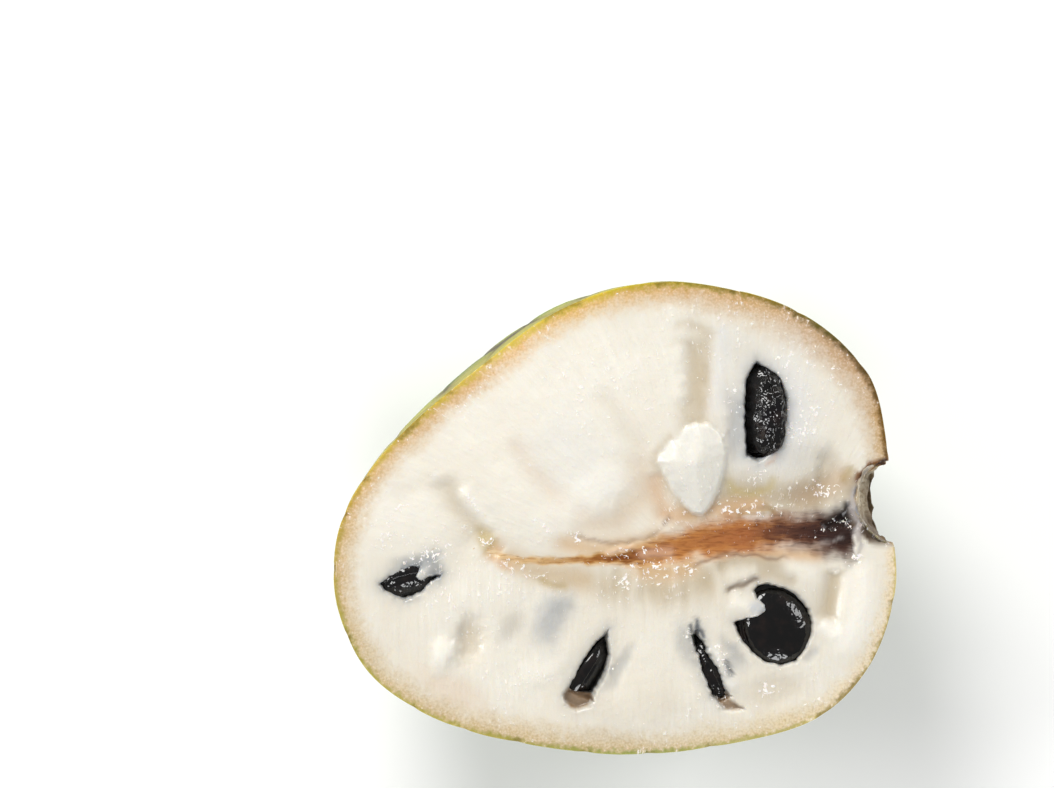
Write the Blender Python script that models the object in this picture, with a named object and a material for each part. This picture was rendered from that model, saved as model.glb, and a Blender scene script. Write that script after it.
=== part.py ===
"""Half a custard apple, cut lengthwise through its stem scar, lying on its skin with the cut face up.

The fruit's axis runs along X, with the stem end at +X. The cut face looks up +Z. The origin is on the
surface the fruit lies on, under the middle of its outline. Skin, flesh and core grew as one piece, so
they are one solid; each seed is a solid of its own, loose in a socket of the flesh.

Run with: blender --background --python part.py
"""

import math

import bmesh
import bpy
import numpy as np
from mathutils import Euler, Vector

MM = 0.001

# The cut face's edge, counter-clockwise from the stem end, as points that a smooth curve runs through.
RIM_MM = [
    (48.3, 13.0), (44.5, 26.0), (33.0, 36.2), (19.0, 40.9), (5.0, 41.6), (-10.2, 36.8), (-24.8, 26.3),
    (-40.0, 13.0), (-48.8, -0.5), (-49.9, -14.5), (-44.0, -27.8), (-31.0, -36.5), (-13.3, -41.1),
    (4.0, -42.5), (22.0, -40.3), (36.5, -35.8), (45.5, -26.5), (49.8, -13.5), (49.2, 0.0),
]
CURVE_STEPS = 12

# The skin side.
FACE_HEIGHT = 40.0 * MM
FLAT_SINK = 0.7 * MM  # how far the round underside is pressed flat where it rests
FULLNESS = 2.12  # 2 is an ellipse in section, more is fuller
BULGE = 6.0 * MM  # the skin swells out below the rim on this side
BULGE_TURN = math.radians(128)
BULGE_SPREAD = math.radians(75)
BELLY_SHIFT = Vector((1.0, -1.5)) * MM  # the lowest part of the skin, off the middle of the rim

# The stem scar, a deep dent at the stem end that the cut goes through.
SCAR_CENTRE = Vector((51.6, 3.3)) * MM
SCAR_RADII = Vector((8.6, 6.6, 16.0)) * MM

# The core, a fibrous strand from the scar towards the tip: (x, y, half width) along its middle.
CORE_MM = [
    (44.0, -2.3, 5.2), (34.0, -2.7, 3.2), (17.0, -3.6, 3.5), (5.0, -6.4, 1.8), (-8.0, -7.3, 0.9),
    (-22.0, -7.2, 0.5),
]
CORE_SINK = 1.0 * MM

# A torn piece of pulp that stands up from the cut face.
LUMP_CENTRE = Vector((13.8, 9.8)) * MM
LUMP_RADII = Vector((6.2, 8.2)) * MM
LUMP_HEIGHT = 3.2 * MM

# The seeds: middle on the cut face (x, y), depth of the middle below it, length, width and thickness,
# the heading of the long axis, and the roll about it, from 0 for a seed lying flat to 90 on its edge.
SEEDS_MM = {
    "seed_upper": (26.4, 19.1, 3.4, 18.0, 11.6, 6.4, 92, -60),
    "seed_face_on": (28.3, -19.2, 3.2, 15.8, 12.8, 6.6, 118, 6),
    "seed_edge_on": (-4.6, -27.0, 6.4, 15.2, 11.2, 5.2, 57, 84),
    "seed_sliver": (17.8, -27.4, 6.2, 15.0, 10.8, 5.0, 115, 78),
    "seed_left": (-36.0, -11.2, 4.4, 14.0, 9.6, 6.2, 13, 58),
    "seed_buried": (-11.4, -17.8, 6.4, 14.4, 10.4, 6.0, 72, 74),
}
SEED_TAPER = 0.2  # how much narrower the pointed end is, and wider the round one
SOCKET_GAP = 0.35 * MM
SOCKET_OPENING = 16.0 * MM  # how far a socket's cutter reaches up through the cut face
SLIT_LENGTH, SLIT_WIDTH, SLIT_DEPTH = 7.0 * MM, 0.8 * MM, 4.0 * MM

HALF_CUTS = 23  # gives 24 squares a side, an even number, so that one ring of edges is the rim
SEED_SEGMENTS, SEED_RINGS = 20, 10


def material(name, colour, roughness):
    made = bpy.data.materials.new(name)
    made.use_nodes = True
    shader = made.node_tree.nodes["Principled BSDF"]
    shader.inputs["Base Color"].default_value = (*colour, 1.0)
    shader.inputs["Roughness"].default_value = roughness
    shader.inputs["Metallic"].default_value = 0.0
    made.diffuse_color = (*colour, 1.0)
    return made


def closed_curve(points, steps):
    """A closed Catmull-Rom curve through the points."""
    points = [Vector(p) for p in points]
    count = len(points)
    curve = []
    for i in range(count):
        a, b, c, d = (points[(i + k - 1) % count] for k in range(4))
        for step in range(steps):
            t = step / steps
            curve.append(
                0.5 * (2 * b + (c - a) * t + (2 * a - 5 * b + 4 * c - d) * t**2
                       + (3 * b - a - 3 * c + d) * t**3)
            )
    return curve


def centred(curve):
    """The curve with the middle of its bounding box at the origin."""
    xs, ys = [p.x for p in curve], [p.y for p in curve]
    middle = Vector(((min(xs) + max(xs)) / 2, (min(ys) + max(ys)) / 2))
    return [p - middle for p in curve]


RIM = [p * MM for p in centred(closed_curve(RIM_MM, CURVE_STEPS))]
RIM_TURNS = [math.atan2(p.y, p.x) for p in RIM]
RIM_REACHES = [p.length for p in RIM]


def rim_reach(turn):
    """How far the rim is from the middle in this direction."""
    return float(np.interp(turn, RIM_TURNS, RIM_REACHES, period=2 * math.pi))


def smooth_step(value):
    value = min(max(value, 0.0), 1.0)
    return value * value * (3 - 2 * value)


def core_at(x):
    """The core's middle and half width at x, in metres; the width is 0 past its tip."""
    along = [p[0] for p in reversed(CORE_MM)]
    middle = np.interp(x / MM, along, [p[1] for p in reversed(CORE_MM)])
    half_width = np.interp(x / MM, along, [p[2] for p in reversed(CORE_MM)], left=0.0)
    return middle * MM, half_width * MM


def face_relief(x, y):
    """Height over the plain cut: the torn lump stands up and the core has shrunk down."""
    across = math.hypot((x - LUMP_CENTRE.x) / LUMP_RADII.x, (y - LUMP_CENTRE.y) / LUMP_RADII.y)
    height = LUMP_HEIGHT * smooth_step((1.15 - across) / 0.7)
    middle, half_width = core_at(x)
    if half_width:
        height -= CORE_SINK * smooth_step(1.4 - abs(y - middle) / half_width)
    return height


def on_cut_face(direction, turn):
    """A point of the upper hemisphere laid out on the cut face, with even spacing."""
    share = math.sqrt(max(0.0, 1 - direction.z))
    reach = rim_reach(turn) * share
    x, y = reach * math.cos(turn), reach * math.sin(turn)
    inside = smooth_step((1 - share) / 0.06)
    return Vector((x, y, FACE_HEIGHT + inside * face_relief(x, y)))


def on_skin(direction, turn):
    """A point of the lower hemisphere put on the fruit's skin."""
    drop = math.asin(min(1.0, -direction.z))
    cosine, sine = math.cos(drop), math.sin(drop)
    stretch = (cosine**FULLNESS + sine**FULLNESS) ** (-1 / FULLNESS)
    off_centre = (turn - BULGE_TURN + math.pi) % (2 * math.pi) - math.pi
    swell = BULGE * smooth_step(1 - abs(off_centre) / BULGE_SPREAD) * math.sin(2 * drop) * cosine
    reach = rim_reach(turn) * stretch * cosine + swell
    shift = BELLY_SHIFT * sine**2
    height = FACE_HEIGHT - (FACE_HEIGHT + FLAT_SINK) * stretch * sine
    return Vector((reach * math.cos(turn) + shift.x, reach * math.sin(turn) + shift.y, max(height, 0.0)))


def object_from(shape, name, finish=None):
    mesh = bpy.data.meshes.new(name)
    shape.to_mesh(mesh)
    shape.free()
    if finish:
        mesh.materials.append(finish)
    made = bpy.data.objects.new(name, mesh)
    bpy.context.scene.collection.objects.link(made)
    return made


def fruit_blank(finish):
    """The half fruit before its scar and sockets are cut: a cube blown up to a ball, then shaped."""
    shape = bmesh.new()
    bmesh.ops.create_cube(shape, size=2.0)
    bmesh.ops.subdivide_edges(shape, edges=shape.edges[:], cuts=HALF_CUTS, use_grid_fill=True)
    for vertex in shape.verts:
        direction = Vector([math.tan(c * math.pi / 4) for c in vertex.co]).normalized()
        turn = math.atan2(direction.y, direction.x)
        on_face = direction.z > -1e-6
        vertex.co = on_cut_face(direction, turn) if on_face else on_skin(direction, turn)
    bmesh.ops.triangulate(shape, faces=shape.faces[:])
    bmesh.ops.recalc_face_normals(shape, faces=shape.faces[:])
    return object_from(shape, "fruit_half", finish)


def seed_shape(size, gap=0.0):
    """A flattened egg along X, with its pointed end at +X and its poles on the long axis."""
    shape = bmesh.new()
    bmesh.ops.create_uvsphere(shape, u_segments=SEED_SEGMENTS, v_segments=SEED_RINGS, radius=1.0)
    bmesh.ops.rotate(shape, verts=shape.verts[:], matrix=Euler((0, math.pi / 2, 0)).to_matrix())
    half = [s / 2 + gap for s in size]
    for vertex in shape.verts:
        along, across, up = vertex.co
        girth = 1 - SEED_TAPER * along
        vertex.co = Vector((along * half[0], across * girth * half[1], up * girth * half[2]))
    return shape


def placed(shape, x, y, depth, heading, roll):
    """Turns and moves a seed's shape to its place in the flesh."""
    turned = Euler((math.radians(roll), 0, math.radians(heading))).to_matrix()
    bmesh.ops.rotate(shape, verts=shape.verts[:], matrix=turned)
    bmesh.ops.translate(shape, verts=shape.verts[:], vec=Vector((x, y, FACE_HEIGHT - depth)))
    shape.normal_update()
    return shape


def cut_with(target, shape, name):
    """Takes the closed shape away from the target with a Boolean, keeping the shape as a hidden helper."""
    bmesh.ops.recalc_face_normals(shape, faces=shape.faces[:])
    cutter = object_from(shape, name)
    cutter.hide_render = True
    cutter.display_type = "WIRE"
    cut = target.modifiers.new(name, "BOOLEAN")
    cut.operation = "DIFFERENCE"
    cut.solver = "EXACT"
    cut.object = cutter


def socket_cutter(seed, opens_up):
    """The space a seed lies in: its own shape, a little larger, open up through the cut face."""
    x, y, depth, length, width, thickness, heading, roll = seed
    size = Vector((length, width, thickness)) * MM
    shape = placed(seed_shape(size, SOCKET_GAP), x * MM, y * MM, depth * MM, heading, roll)
    if opens_up:
        for vertex in shape.verts:
            if vertex.normal.z > 0:
                vertex.co.z += SOCKET_OPENING
    return shape


def slit_cutter(seed):
    """A narrow split in the flesh over the buried seed, between two of the fruit's segments."""
    x, y, heading = seed[0] * MM, seed[1] * MM, seed[6]
    shape = bmesh.new()
    bmesh.ops.create_cube(shape, size=1.0)
    bmesh.ops.scale(shape, verts=shape.verts[:], vec=Vector((SLIT_LENGTH, SLIT_WIDTH, 2 * SLIT_DEPTH)))
    return placed(shape, x, y, 0.0, heading, 0.0)


def scar_cutter():
    shape = bmesh.new()
    bmesh.ops.create_uvsphere(shape, u_segments=24, v_segments=14, radius=1.0)
    bmesh.ops.scale(shape, verts=shape.verts[:], vec=SCAR_RADII)
    bmesh.ops.translate(shape, verts=shape.verts[:], vec=Vector((*SCAR_CENTRE, FACE_HEIGHT)))
    return shape


def main():
    for old in list(bpy.data.objects):
        bpy.data.objects.remove(old)
    fruit_finish = material("fruit_skin_and_flesh", (0.82, 0.78, 0.66), 0.35)
    seed_finish = material("seed_coat", (0.012, 0.010, 0.010), 0.2)

    fruit = fruit_blank(fruit_finish)
    cut_with(fruit, scar_cutter(), "scar_cutter")
    for name, seed in SEEDS_MM.items():
        x, y, depth, length, width, thickness, heading, roll = seed
        size = Vector((length, width, thickness)) * MM
        buried = name == "seed_buried"
        shape = placed(seed_shape(size), x * MM, y * MM, depth * MM, heading, roll)
        made = object_from(shape, name, seed_finish)
        made.data.shade_smooth()
        cut_with(fruit, socket_cutter(seed, not buried), name + "_socket")
        if buried:
            cut_with(fruit, slit_cutter(seed), name + "_slit")


main()
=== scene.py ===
# %% [markdown]
# # Half a custard apple
#
# A custard apple cut lengthwise through its stem scar lies on its skin, with the cut face up. This
# lesson builds what the eye sees around a imported CAD model: one piece for skin, flesh and core, which
# grew together, and one piece for each seed. Each piece hides the CAD node it stands for, and each seed
# is moved to the middle of its node's box.

# %% Load the frame
import math

import bmesh
import bpy
import numpy as np
from mathutils import Euler, Matrix, Vector, noise


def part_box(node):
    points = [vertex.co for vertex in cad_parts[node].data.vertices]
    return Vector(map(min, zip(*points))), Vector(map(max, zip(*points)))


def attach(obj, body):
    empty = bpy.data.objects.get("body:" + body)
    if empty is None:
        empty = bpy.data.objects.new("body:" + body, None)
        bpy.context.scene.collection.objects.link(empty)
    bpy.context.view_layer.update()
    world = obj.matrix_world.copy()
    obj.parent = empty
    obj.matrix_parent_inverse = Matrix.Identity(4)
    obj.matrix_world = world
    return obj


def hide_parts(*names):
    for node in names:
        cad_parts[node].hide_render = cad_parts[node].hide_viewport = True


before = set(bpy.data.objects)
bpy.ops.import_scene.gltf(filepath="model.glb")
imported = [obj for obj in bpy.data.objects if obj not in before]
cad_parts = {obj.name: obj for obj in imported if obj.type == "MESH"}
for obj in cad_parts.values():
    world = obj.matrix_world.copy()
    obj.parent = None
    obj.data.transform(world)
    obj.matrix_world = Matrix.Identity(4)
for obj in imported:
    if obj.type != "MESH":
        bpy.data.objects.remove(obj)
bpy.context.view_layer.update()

MM = 0.001

# %% [markdown]
# ## The edge of the cut
#
# The cut's outline isn't a circle or an ellipse: it is pointed towards the tip on one side and full on
# the other. It could be drawn as a Bezier curve by hand. Here a smooth closed curve runs through a few
# points in millimetres, because a script can then ask it how far the edge is in any direction.

# %% The outline curve
FACE_HEIGHT = 40.0  # mm from the table up to the cut
RIM_POINTS = [
    (48.3, 13.0), (44.5, 26.0), (33.0, 36.2), (19.0, 40.9), (5.0, 41.6), (-10.2, 36.8), (-24.8, 26.3),
    (-40.0, 13.0), (-48.8, -0.5), (-49.9, -14.5), (-44.0, -27.8), (-31.0, -36.5), (-13.3, -41.1),
    (4.0, -42.5), (22.0, -40.3), (36.5, -35.8), (45.5, -26.5), (49.8, -13.5), (49.2, 0.0),
]


def closed_curve(points, steps):
    """A smooth closed curve through the points, as an array with its middle at the origin."""
    points = np.array(points)
    curve = []
    for i in range(len(points)):
        a, b, c, d = (points[(i + k - 1) % len(points)] for k in range(4))
        for t in np.arange(steps) / steps:
            curve.append(
                0.5 * (2 * b + (c - a) * t + (2 * a - 5 * b + 4 * c - d) * t**2
                       + (3 * b - a - 3 * c + d) * t**3)
            )
    curve = np.array(curve)
    return curve - (curve.min(axis=0) + curve.max(axis=0)) / 2


RIM = closed_curve(RIM_POINTS, 12)
RIM_TURNS = np.arctan2(RIM[:, 1], RIM[:, 0])
RIM_REACHES = np.hypot(RIM[:, 0], RIM[:, 1])


def rim_reach(turn):
    """How far the rim is from the middle in each direction."""
    return np.interp(turn, RIM_TURNS, RIM_REACHES, period=2 * math.pi)


print("rim:", len(RIM), "points,", np.ptp(RIM, axis=0).round(1), "mm")

# %% [markdown]
# ## A ball made from a cube
#
# The fruit needs one closed skin of evenly sized squares, with a ring of edges where the knife went.
# A UV sphere bunches its faces at two poles. A cube cut into a grid and blown up to a ball has no poles,
# and with an even number of squares a side its equator is a ring of edges, which becomes the rim.

# %% The ball
SQUARES = 104


def gridded_cube(squares):
    shape = bmesh.new()
    bmesh.ops.create_cube(shape, size=2.0)
    bmesh.ops.subdivide_edges(shape, edges=shape.edges[:], cuts=squares - 1, use_grid_fill=True)
    return shape


def ball_directions(shape):
    """The unit vector of each vertex once the cube is blown up, evened out by a tangent."""
    flat = np.array([vertex.co for vertex in shape.verts])
    ball = np.tan(flat * math.pi / 4)
    return ball / np.linalg.norm(ball, axis=1, keepdims=True)


def put(name, data):
    """Puts an object with this mesh, light or camera in the scene."""
    made = bpy.data.objects.new(name, data)
    bpy.context.scene.collection.objects.link(made)
    return made


def mesh_of(name, shape, place):
    """A smooth mesh with the faces of a shape, which it uses up, and its points at these places in mm."""
    mesh = bpy.data.meshes.new(name)
    shape.to_mesh(mesh)
    shape.free()
    mesh.vertices.foreach_set("co", (place * MM).ravel())
    mesh.update()
    mesh.shade_smooth()
    return mesh


def smooth(value):
    """0 below 0, 1 above 1, and an S-shaped step between."""
    value = np.clip(value, 0.0, 1.0)
    return value * value * (3 - 2 * value)


def noise_at(x, y, size, seed):
    """Soft random values, about -0.6 to 0.6, whose blotches are about this size."""
    return np.array([noise.noise((a, b, seed)) for a, b in zip(x / size, y / size)])


def shaken(x, y, amount, size, seeds):
    """The points moved about by a soft noise, so that what is drawn there gets a ragged edge."""
    return x + amount * noise_at(x, y, size, seeds[0]), y + amount * noise_at(x, y, size, seeds[1])


print("squares a side:", SQUARES)


# %% [markdown]
# ## Where things are on the cut face
#
# Seeds and torn flesh are drawn on the cut face as outlines in millimetres, as a map maker would. A
# seed's outline is only the part of it that is open to the air: flesh covers the rest. For each point of
# the face the script then asks how far inside an outline it is, or how far it is from a line.

# %% Where the seeds show
SEED_WINDOWS = {
    "seed_upper": [
        (25.1, 27.9), (27.5, 26.4), (29.4, 24.5), (30.3, 21.9), (30.5, 20.1), (30.1, 18.4), (29.1, 15.6),
        (28.4, 13.0), (27.3, 11.1), (25.3, 9.8), (23.2, 10.8), (22.9, 14.5), (22.8, 20.0), (23.1, 24.5),
        (23.8, 26.4),
    ],
    "seed_face_on": [
        (20.9, -18.5), (21.8, -21.0), (23.9, -23.6), (26.7, -25.8), (29.5, -26.4), (32.3, -25.6),
        (34.0, -23.4), (35.1, -20.9), (35.3, -18.4), (34.5, -15.9), (32.7, -13.7), (30.2, -12.3),
        (27.4, -11.5), (25.3, -11.7), (24.5, -12.9), (25.1, -14.2), (26.4, -15.3), (26.7, -16.4),
        (25.3, -17.5), (23.2, -17.8),
    ],
    "seed_edge_on": [
        (-1.0, -19.6), (-1.1, -21.5), (-0.7, -24.5), (-1.3, -27.4), (-3.2, -30.6), (-4.5, -33.2),
        (-6.5, -33.8), (-8.3, -33.0), (-8.9, -31.4), (-8.3, -29.9), (-5.6, -24.8), (-3.4, -21.7),
    ],
    "seed_sliver": [
        (14.5, -19.4), (15.9, -22.0), (17.0, -24.5), (18.3, -26.5), (19.3, -29.0), (19.9, -31.0),
        (18.5, -32.4), (17.2, -31.5), (15.8, -28.3), (15.0, -25.5), (14.0, -22.7), (13.5, -20.9),
    ],
    "seed_left": [
        (-41.7, -11.7), (-39.9, -10.4), (-37.7, -9.1), (-36.0, -8.6), (-34.4, -8.3), (-35.0, -9.4),
        (-35.4, -10.2), (-34.5, -10.8), (-32.7, -10.1), (-30.7, -9.8), (-31.6, -10.9), (-33.1, -11.8),
        (-34.1, -13.1), (-36.0, -14.1), (-37.3, -14.4), (-39.0, -13.6), (-40.6, -12.8),
    ],
}
# How strongly each seed darkens the flesh round it.
SEED_SHADE = {
    "seed_upper": 0.6, "seed_face_on": 0.3, "seed_edge_on": 0.5, "seed_sliver": 0.6, "seed_left": 0.7,
}
print("seeds that show:", len(SEED_WINDOWS))

# %% Skins of flesh over seeds, and the torn lump
# Where a seed's end lies under a thin skin of flesh: outline, depth in mm, and stains.
HUSKS = [
    ([(-9.2, -31.2), (-8.5, -30.1), (-6.2, -30.9), (-4.0, -31.3), (-3.9, -32.3), (-4.8, -33.4),
      (-6.3, -33.9), (-7.8, -33.6), (-8.9, -32.5)], 1.3, {"husk": 0.85, "shade_and_dark_tissue": 0.14}),
    ([(-8.3, -30.9), (-7.8, -30.3), (-6.2, -30.8), (-4.0, -31.3), (-3.8, -32.6), (-5.4, -32.0)], 1.5,
     {"husk": 0.8, "shade_and_dark_tissue": 0.6}),
    ([(18.0, -32.2), (19.8, -31.3), (21.2, -32.6), (23.0, -34.0), (19.2, -33.8)], 0.8, {"husk": 0.85}),
    ([(17.4, -31.4), (19.8, -30.6), (20.4, -31.6), (18.4, -32.7)], 1.6, {"husk": 0.7, "shade_and_dark_tissue": 0.6}),
    ([(-8.6, -32.9), (-6.5, -33.8), (-4.4, -33.2), (-4.2, -33.6), (-6.6, -34.3), (-8.9, -33.3)], 0.4,
     {"husk": 0.25}),
]
LUMP = [
    (7.6, 10.0), (7.9, 11.4), (9.4, 13.2), (11.4, 14.6), (13.2, 16.6), (14.6, 17.0), (17.2, 16.2),
    (19.0, 14.2), (19.7, 12.0), (19.2, 8.6), (18.0, 4.6), (16.8, 2.0), (15.4, 0.8), (13.6, 1.0),
    (11.8, 3.0), (9.6, 6.0),
]
LUMP_RIDGE = [(12.6, 15.0), (13.6, 9.0), (15.4, 2.6)]
print("skins of flesh:", len(HUSKS), "| points round the lump:", len(LUMP))

# %% Furrows, ridges and seams
# points, half width and height in mm, and how strongly each stain follows the line
LINES = [
    ([(16.4, 34.5), (16.7, 28.0), (16.0, 16.0)], 1.2, -0.22, {"tan": 0.32}),
    ([(14.2, 32.4), (14.4, 25.0), (14.0, 14.2)], 2.2, -0.24, {"tan": 0.26}),
    ([(9.6, 33.4), (13.4, 34.6), (16.2, 33.8), (17.0, 31.4)], 0.8, -0.1, {"tan": 0.22}),
    ([(9.4, 29.6), (10.6, 31.2), (13.9, 30.6)], 0.8, -0.08, {"tan": 0.15}),
    # Painted highlight: the raised ridge left of the channel is paler along its crest.
    ([(10.7, 31.9), (10.9, 26.0), (10.9, 19.6)], 1.8, 0.14, {"pale": 0.4}),
    ([(18.6, 36.0), (18.6, 28.0), (17.9, 17.0)], 1.6, 0.1, {"cool": 0.3}),
    ([(3.7, 13.1), (4.2, 9.0), (4.2, 3.4), (0.6, -0.2), (-9.0, 0.0)], 2.4, -0.3, {"tan": 0.36, "peach": 0.2}),
    ([(-19.4, 14.9), (-13.5, 7.3), (-9.0, 2.9), (-4.1, 0.6)], 1.8, -0.2, {"peach": 0.2, "tan": 0.1}),
    ([(-3.6, 23.2), (-0.6, 20.2), (2.7, 15.1), (6.1, 12.3)], 1.9, -0.2, {"tan": 0.2}),
    ([(-40.0, 3.0), (-33.0, 6.4), (-31.4, 7.6)], 1.8, -0.2, {"tan": 0.18}),
    ([(19.4, 7.6), (20.8, 4.9), (24.0, 4.0), (27.2, 5.4), (28.4, 8.6)], 0.9, -0.1, {"olive": 0.6}),
    ([(28.7, 12.6), (27.4, 10.6), (26.0, 9.6)], 0.5, 0.1, {"peach": 0.9}),
    # Painted shade: tan along the crease of the left valley.
    ([(-31.4, 7.6), (-28.6, 3.4), (-24.9, -0.6), (-22.6, -4.4)], 2.2, -0.85, {"tan": 0.52}),
    ([(-22.6, -4.4), (-20.6, -6.0)], 1.8, -0.4, {"tan": 0.5, "peach": 0.5}),
    # Painted light: pale along the ridge beside the left valley.
    ([(-27.6, 5.8), (-24.2, 1.6), (-21.8, -2.4)], 1.3, 0.45, {"pale": 0.6}),
    ([(-8.4, -2.9), (-6.2, -3.9), (1.1, -4.2), (5.7, -3.4), (8.4, -1.6)], 0.4, -0.2, {"seam": 0.4}),
    ([(-12.0, -4.6), (-2.0, -5.2), (5.0, -4.4), (9.4, -1.8)], 1.7, -0.1, {"peach": 0.65, "olive": 0.2}),
    ([(2.0, -9.4), (9.0, -9.2), (16.0, -8.2)], 1.9, -0.1, {"peach": 0.7, "olive": 0.2}),
    ([(12.9, -9.2), (15.3, -7.7), (18.2, -6.7), (20.6, -6.3), (25.2, -6.2), (31.4, -7.6)], 0.35, -0.15,
     {"seam": 0.5}),
    ([(17.0, -8.6), (20.6, -7.6), (25.2, -7.4), (31.4, -8.4)], 1.5, -0.3, {"tan": 0.6, "shade": 0.12}),
    ([(9.6, 0.6), (8.4, -1.6)], 0.5, -0.2, {"seam": 0.6}),
    ([(9.0, -0.8), (8.0, 1.6), (7.2, 4.6), (6.9, 8.6)], 1.8, -0.45, {"tan": 0.35, "peach": 0.55}),
    ([(38.9, -8.3), (38.6, -13.0), (37.5, -19.0)], 2.2, -0.8, {"tan": 0.65}),
    ([(40.8, -9.0), (40.8, -14.0), (39.9, -19.2)], 0.9, 0.2, {"pale": 0.4}),
    ([(42.9, -7.4), (43.9, -13.0), (43.0, -19.0), (39.4, -25.2)], 2.6, 0.45, {"pale": 0.7}),
    ([(36.0, -19.0), (38.4, -20.6), (40.6, -20.0)], 1.2, 0.4, {"pale": 0.8}),
    ([(20.4, -14.4), (22.4, -15.0), (24.2, -15.8), (26.3, -16.0)], 1.5, 0.3, {"pale": 0.6}),
    # Painted shadow: dark tan and near black in the slit over the face-on seed's top edge.
    ([(19.2, -13.2), (22.0, -12.5), (24.2, -11.4), (26.0, -10.9)], 0.7, -0.5, {"husk": 0.7, "shade_and_dark_tissue": 0.3}),
    ([(23.4, -15.9), (25.0, -15.4), (26.4, -16.2)], 1.1, 0.0, {"cool": 0.6, "shade": 0.3}),
    ([(24.6, -10.0), (28.0, -9.8), (32.6, -11.4)], 1.4, -0.4, {"tan": 0.5}),
    ([(16.2, -22.2), (17.9, -24.6), (19.7, -27.8), (21.2, -31.2)], 1.0, 0.4, {"pale": 0.85}),
    ([(19.4, -25.0), (20.3, -27.2), (20.9, -28.8)], 0.6, -0.3, {"shade": 0.7, "shade_and_dark_tissue": 0.45}),
    ([(16.9, -30.6), (17.8, -32.2), (19.2, -33.6)], 0.6, -0.1, {"shade_and_dark_tissue": 0.5}),
    ([(14.4, -17.2), (14.7, -19.4), (15.8, -21.6)], 0.4, 0.1, {"shade": 0.8, "shade_and_dark_tissue": 0.5}),
    ([(13.0, -18.6), (13.9, -20.6)], 0.3, 0.1, {"shade": 0.7, "shade_and_dark_tissue": 0.5}),
    ([(-34.9, -9.6), (-32.0, -7.6), (-29.8, -7.0)], 1.0, 0.3, {"pale": 0.6}),
    ([(-21.0, -5.6), (-14.0, -9.4), (-8.0, -10.4), (-3.0, -10.8)], 2.4, -0.2,
     {"tan": 0.45, "peach": 0.25, "olive": 0.12}),
    ([(-13.6, -11.0), (-10.8, -12.1), (-7.6, -12.0)], 0.8, -0.2, {"tan": 0.4, "olive": 0.25}),
    ([(-6.0, -10.8), (4.0, -12.8), (12.0, -12.6), (20.0, -10.2)], 3.4, -0.1, {"tan": 0.5}),
    ([(8.0, -0.4), (13.0, 1.0), (20.0, 1.6), (28.0, 2.0)], 1.9, -0.1, {"peach": 0.6, "tan": 0.45}),
    ([(17.0, 3.0), (24.0, 4.6), (31.0, 4.4), (38.0, 5.0)], 3.0, 0.0, {"tan": 0.5, "shade": 0.1}),
    ([(24.0, -6.4), (29.0, -6.2), (34.0, -6.2), (37.4, -6.6)], 1.1, 0.0, {"peach": 0.7, "olive": 0.1}),
    ([(30.0, 3.4), (38.0, 5.4), (42.4, 8.0)], 2.0, -0.3, {"peach": 0.35, "shade": 0.1}),
    ([(-26.0, -2.8), (-28.0, -9.4), (-33.0, -14.6)], 2.2, -0.2, {"tan": 0.1}),
    ([(43.0, 5.8), (42.7, 3.0), (42.8, 1.0), (43.3, -1.2)], 0.8, 0.2, {"film": 1.15}),
    ([(43.2, -0.4), (42.9, -2.2), (43.7, -4.0)], 0.55, 0.15, {"film": 1.0}),
    ([(43.9, -3.4), (43.2, -5.4), (42.4, -7.4)], 0.35, 0.1, {"film": 0.7, "shade": 0.3}),
    ([(41.6, 1.6), (42.6, 0.9), (43.2, 0.0)], 0.35, 0.1, {"film": 0.5}),
    ([(36.0, -4.4), (38.6, -3.6), (41.0, -3.4)], 0.3, 0.1, {"film": 0.5}),
    ([(3.6, -6.6), (6.6, -6.0), (10.6, -5.8)], 1.0, 0.25, {"pulp": 0.55}),
    ([(-2.0, -6.0), (1.0, -5.4), (3.4, -5.0)], 0.5, 0.2, {"pulp": 0.5}),
    ([(36.6, -2.0), (38.6, -1.0), (41.4, 0.6)], 1.2, -0.5, {"shade_and_dark_tissue": 0.9}),
    ([(40.8, -1.6), (41.2, 0.6), (41.8, 2.9)], 0.8, -0.5, {"shade_and_dark_tissue": 0.9}),
    ([(40.0, 6.0), (41.4, 7.4), (42.6, 8.8)], 1.0, -0.1, {"tan": 0.6, "olive": 0.2}),
    ([(20.8, 0.2), (22.4, 1.6), (25.0, 2.2), (28.0, 1.4), (29.2, 0.0)], 0.5, -0.1, {"tan": 0.9, "seam": 0.2}),
]
print("lines:", len(LINES))

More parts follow.
